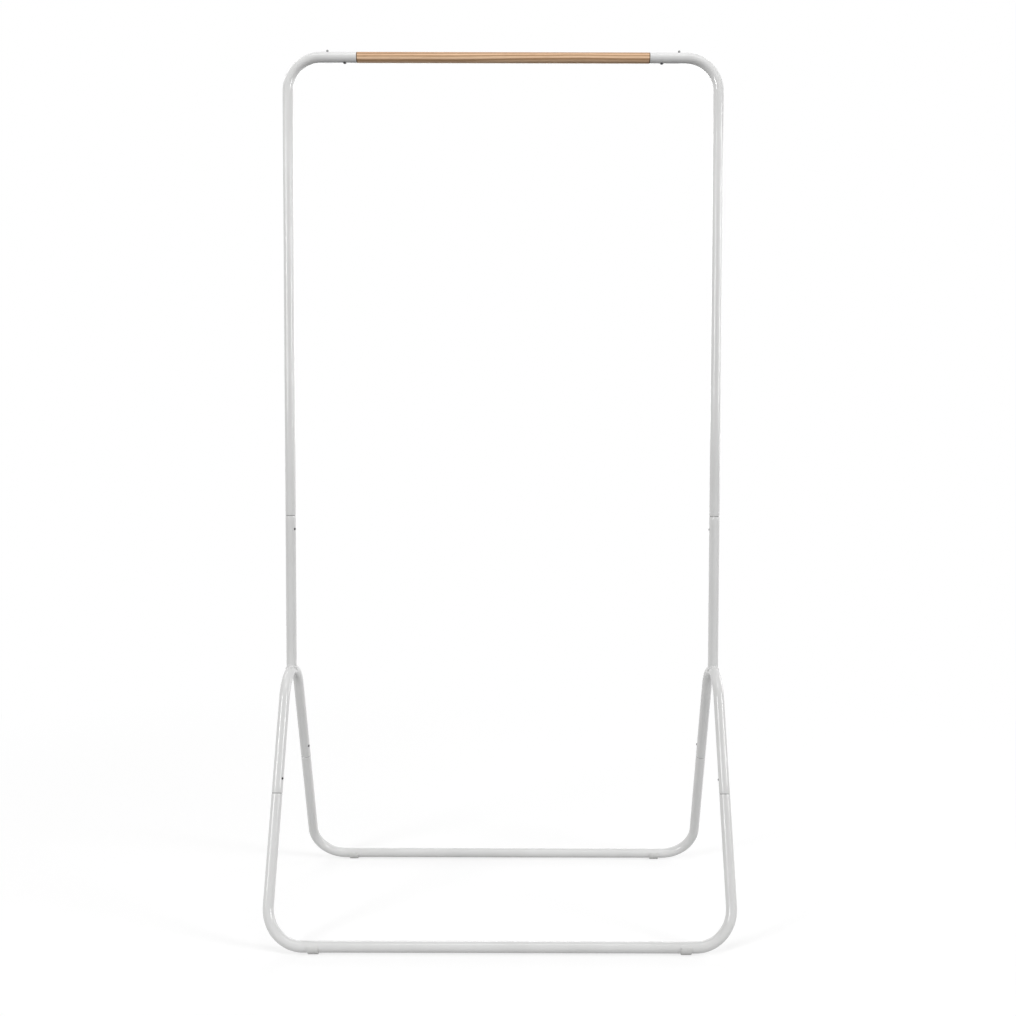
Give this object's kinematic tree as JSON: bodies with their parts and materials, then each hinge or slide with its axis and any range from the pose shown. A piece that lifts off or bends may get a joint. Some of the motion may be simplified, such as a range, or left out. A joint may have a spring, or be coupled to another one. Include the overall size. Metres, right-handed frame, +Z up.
{
  "type": "clothes rack",
  "caption": "Free-standing knock-down clothes rack of white bent steel tube: slim side posts on splayed legs, joined by a wooden hanging rail on top and floor bars below.",
  "frame": {"origin": "on the floor, midway between the four feet", "axes": "+Z up, +X along the rail to the right seen from the front, +Y to the back"},
  "size_m": [0.8244, 0.4436, 1.6044],
  "materials": {
    "white_steel": "white powder coat, satin",
    "rail_wood": "light hardwood dowel, clear lacquer",
    "stop_steel": "grey paint",
    "screw_steel": "black zinc plate",
    "button_steel": "dark nickel plate",
    "spring_steel": "blued spring steel",
    "foot_plastic": "white nylon, matt"
  },
  "bodies": {
    "stand": {"front_floor_frame": "white_steel", "rear_floor_frame": "white_steel", "side_frame_left": "white_steel", "lower_post_left": "white_steel", "apex_weld_left": "white_steel", "upper_frame_left": "white_steel", "hanger_stop_left": "stop_steel", "rail_screw_left": "screw_steel", "foot_front_left": "foot_plastic", "foot_rear_left": "foot_plastic", "spring_post_left": "spring_steel", "spring_front_left": "spring_steel", "spring_rear_left": "spring_steel", "side_frame_right": "white_steel", "lower_post_right": "white_steel", "apex_weld_right": "white_steel", "upper_frame_right": "white_steel", "hanger_stop_right": "stop_steel", "rail_screw_right": "screw_steel", "foot_front_right": "foot_plastic", "foot_rear_right": "foot_plastic", "spring_post_right": "spring_steel", "spring_front_right": "spring_steel", "spring_rear_right": "spring_steel", "hanging_rail": "rail_wood"},
    "button_post_left": {"button_post_left": "button_steel"},
    "button_front_left": {"button_front_left": "button_steel"},
    "button_rear_left": {"button_rear_left": "button_steel"},
    "button_post_right": {"button_post_right": "button_steel"},
    "button_front_right": {"button_front_right": "button_steel"},
    "button_rear_right": {"button_rear_right": "button_steel"}
  },
  "joints": [
    {"name": "button_post_left_press", "type": "slide", "parent": "stand", "child": "button_post_left", "axis": [-0.9063, 0.4226, 0], "range_m": [0, 0.003], "stiffness_N_per_m": 2000, "springref_m": -0.002, "deforming": ["spring_post_left"]},
    {"name": "button_front_left_press", "type": "slide", "parent": "stand", "child": "button_front_left", "axis": [-0.9063, 0.3945, -0.1515], "range_m": [0, 0.003], "stiffness_N_per_m": 2000, "springref_m": -0.002, "deforming": ["spring_front_left"]},
    {"name": "button_rear_left_press", "type": "slide", "parent": "stand", "child": "button_rear_left", "axis": [-0.9063, 0.3945, 0.1515], "range_m": [0, 0.003], "stiffness_N_per_m": 2000, "springref_m": -0.002, "deforming": ["spring_rear_left"]},
    {"name": "button_post_right_press", "type": "slide", "parent": "stand", "child": "button_post_right", "axis": [0.9063, -0.4226, 0], "range_m": [0, 0.003], "stiffness_N_per_m": 2000, "springref_m": -0.002, "deforming": ["spring_post_right"]},
    {"name": "button_front_right_press", "type": "slide", "parent": "stand", "child": "button_front_right", "axis": [0.9063, -0.3945, 0.1515], "range_m": [0, 0.003], "stiffness_N_per_m": 2000, "springref_m": -0.002, "deforming": ["spring_front_right"]},
    {"name": "button_rear_right_press", "type": "slide", "parent": "stand", "child": "button_rear_right", "axis": [0.9063, -0.3945, -0.1515], "range_m": [0, 0.003], "stiffness_N_per_m": 2000, "springref_m": -0.002, "deforming": ["spring_rear_right"]}
  ]
}
